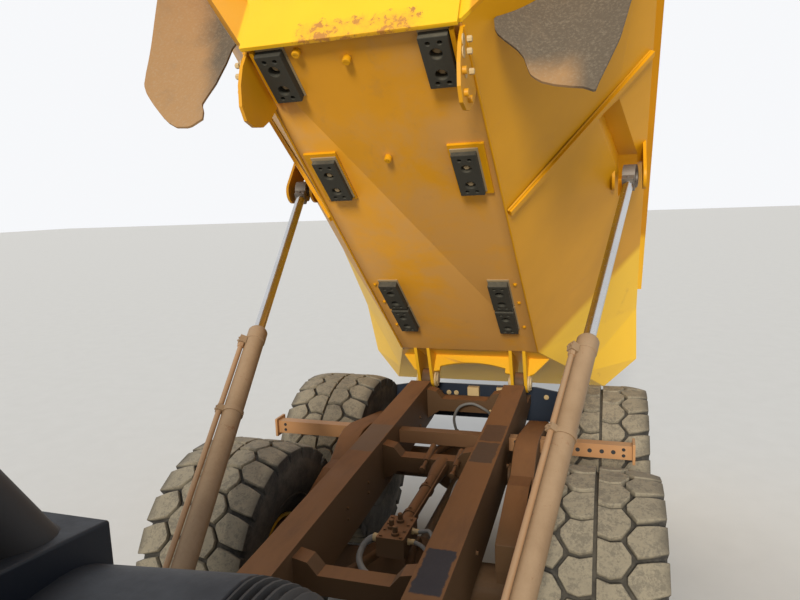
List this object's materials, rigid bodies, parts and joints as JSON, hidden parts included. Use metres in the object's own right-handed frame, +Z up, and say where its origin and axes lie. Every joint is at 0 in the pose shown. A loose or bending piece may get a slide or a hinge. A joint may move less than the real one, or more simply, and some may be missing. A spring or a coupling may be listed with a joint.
{
  "type": "articulated dump truck",
  "caption": "Articulated dump truck with a hinged tractor unit, a raised tipping bed on hydraulic cylinders and rubber tyres on three axles.",
  "frame": {"origin": "centre of the truck's outline on the ground", "axes": "+X towards the front bumper, +Y to the truck's left, +Z up"},
  "size_m": [11.6862, 3.33, 5.6042],
  "materials": {
    "yellow_paint": "satin",
    "worn_yellow": "dusty, worn",
    "dark_frame": "dusty",
    "rusty_bar": "rusty",
    "engine": "plain",
    "deck_paint": "satin",
    "chrome": "polished",
    "tyre": "dusty",
    "rubber": "dusty",
    "glass": "clear",
    "black_plastic": "matt",
    "lamp_lens": "clear",
    "red_lens": "clear",
    "steel": "worn",
    "exhaust": "heat-stained"
  },
  "bodies": {
    "front_unit": {"front_frame": "dark_frame", "hitch_ears": "dark_frame", "front_bumper": "yellow_paint", "engine_block": "engine", "front_fenders": "yellow_paint", "access_ladders": "dark_frame", "handrails": "dark_frame", "cab_shell": "yellow_paint", "cab_glass": "glass", "cab_interior": "black_plastic", "rear_deck": "deck_paint", "exhaust_stack": "exhaust", "mirrors": "black_plastic", "head_lamps": "lamp_lens", "front_axle": "dark_frame"},
    "hood": {"engine_hood": "yellow_paint", "hood_grille": "black_plastic"},
    "door": {"cab_door": "yellow_paint", "door_glass": "glass"},
    "hitch": {"hitch_yoke": "dark_frame"},
    "steer_barrel_l": {"steer_barrel_left": "dark_frame"},
    "steer_barrel_r": {"steer_barrel_right": "dark_frame"},
    "steer_rod_l": {"steer_rod_left": "chrome"},
    "steer_rod_r": {"steer_rod_right": "chrome"},
    "rear_unit": {"rear_frame": "dark_frame", "hoist_seats": "dark_frame", "bogie_axles": "dark_frame", "walking_beams": "dark_frame", "drive_shafts": "steel", "cross_bar": "rusty_bar", "tail_lamps": "red_lens", "frame_hoses": "rubber"},
    "hoist_barrel_l": {"hoist_barrel_left": "dark_frame"},
    "hoist_barrel_r": {"hoist_barrel_right": "dark_frame"},
    "hoist_rod_l": {"hoist_rod_left": "chrome"},
    "hoist_rod_r": {"hoist_rod_right": "chrome"},
    "bed": {"bed_floor": "worn_yellow", "bed_side_left": "worn_yellow", "bed_side_right": "worn_yellow", "bed_front_wall": "worn_yellow", "bed_hinge_frame": "worn_yellow", "bed_pads": "rubber", "bed_guides": "worn_yellow", "mud_flaps": "rubber"},
    "wheel_fl": {"tyre_fl": "tyre", "rim_fl": "yellow_paint"},
    "wheel_fr": {"tyre_fr": "tyre", "rim_fr": "yellow_paint"},
    "wheel_ml": {"tyre_ml": "tyre", "rim_ml": "yellow_paint"},
    "wheel_mr": {"tyre_mr": "tyre", "rim_mr": "yellow_paint"},
    "wheel_rl": {"tyre_rl": "tyre", "rim_rl": "yellow_paint"},
    "wheel_rr": {"tyre_rr": "tyre", "rim_rr": "yellow_paint"}
  },
  "joints": [
    {"name": "steer", "type": "hinge", "parent": "front_unit", "child": "hitch", "pos_m": [1.64314, 0, 1.05], "axis": [0, 0, 1], "range_deg": [-45, 45]},
    {"name": "oscillate", "type": "hinge", "parent": "hitch", "child": "rear_unit", "pos_m": [1.24314, 0, 1.05], "axis": [1, 0, 0], "range_deg": [-15, 15]},
    {"name": "bed_tip", "type": "hinge", "parent": "rear_unit", "child": "bed", "pos_m": [-3.88886, 0, 1.62], "axis": [0, -1, 0], "range_deg": [-42.5, 28.5]},
    {"name": "roll_fl", "type": "hinge", "parent": "front_unit", "child": "wheel_fl", "pos_m": [2.92314, 1.265, 0.855], "axis": [0, 1, 0], "continuous": true},
    {"name": "roll_fr", "type": "hinge", "parent": "front_unit", "child": "wheel_fr", "pos_m": [2.92314, -1.265, 0.855], "axis": [0, 1, 0], "continuous": true},
    {"name": "roll_ml", "type": "hinge", "parent": "rear_unit", "child": "wheel_ml", "pos_m": [-1.52686, 1.265, 0.855], "axis": [0, 1, 0], "continuous": true},
    {"name": "roll_mr", "type": "hinge", "parent": "rear_unit", "child": "wheel_mr", "pos_m": [-1.52686, -1.265, 0.855], "axis": [0, 1, 0], "continuous": true},
    {"name": "roll_rl", "type": "hinge", "parent": "rear_unit", "child": "wheel_rl", "pos_m": [-3.50686, 1.265, 0.855], "axis": [0, 1, 0], "continuous": true},
    {"name": "roll_rr", "type": "hinge", "parent": "rear_unit", "child": "wheel_rr", "pos_m": [-3.50686, -1.265, 0.855], "axis": [0, 1, 0], "continuous": true},
    {"name": "hoist_swing_l", "type": "hinge", "parent": "rear_unit", "child": "hoist_barrel_l", "pos_m": [0.38914, 0.792, 0.955], "axis": [0.5706, 0.4963, 0.6543], "range_deg": [-5.2, 3.6]},
    {"name": "hoist_stroke_l", "type": "slide", "parent": "hoist_barrel_l", "child": "hoist_rod_l", "axis": [-0.7989, 0.1518, 0.582], "range_m": [-1.4, 0.95]},
    {"name": "steer_swing_l", "type": "hinge", "parent": "front_unit", "child": "steer_barrel_l", "pos_m": [2.54314, 0.24, 1.05], "axis": [0, 0, 1], "range_deg": [-2.6, 2.6]},
    {"name": "steer_stroke_l", "type": "slide", "parent": "steer_barrel_l", "child": "steer_rod_l", "axis": [-0.9981, 0.0624, 0], "range_m": [-0.225, 0.225]},
    {"name": "hoist_swing_r", "type": "hinge", "parent": "rear_unit", "child": "hoist_barrel_r", "pos_m": [0.38914, -0.792, 0.955], "axis": [-0.5706, 0.4963, -0.6543], "range_deg": [-5.2, 3.6]},
    {"name": "hoist_stroke_r", "type": "slide", "parent": "hoist_barrel_r", "child": "hoist_rod_r", "axis": [-0.7989, -0.1518, 0.582], "range_m": [-1.4, 0.95]},
    {"name": "steer_swing_r", "type": "hinge", "parent": "front_unit", "child": "steer_barrel_r", "pos_m": [2.54314, -0.24, 1.05], "axis": [0, 0, 1], "range_deg": [-2.6, 2.6]},
    {"name": "steer_stroke_r", "type": "slide", "parent": "steer_barrel_r", "child": "steer_rod_r", "axis": [-0.9981, -0.0624, 0], "range_m": [-0.225, 0.225]},
    {"name": "hood_tilt", "type": "hinge", "parent": "front_unit", "child": "hood", "pos_m": [5.64314, 0, 1.395], "axis": [0, 1, 0], "range_deg": [0, 60]},
    {"name": "door_swing", "type": "hinge", "parent": "front_unit", "child": "door", "pos_m": [3.42314, 0.798, 2.6], "axis": [0, 0, -1], "range_deg": [0, 80]}
  ],
  "couplings": [
    {"joint": "hoist_swing_l", "follows": "bed_tip", "ratio": 0.1158},
    {"joint": "hoist_stroke_l", "follows": "bed_tip", "m_per_rad": 1.86},
    {"joint": "steer_swing_l", "follows": "steer", "ratio": 0.051},
    {"joint": "steer_stroke_l", "follows": "steer", "m_per_rad": 0.27},
    {"joint": "hoist_swing_r", "follows": "bed_tip", "ratio": 0.1158},
    {"joint": "hoist_stroke_r", "follows": "bed_tip", "m_per_rad": 1.86},
    {"joint": "steer_swing_r", "follows": "steer", "ratio": 0.051},
    {"joint": "steer_stroke_r", "follows": "steer", "m_per_rad": -0.27}
  ]
}
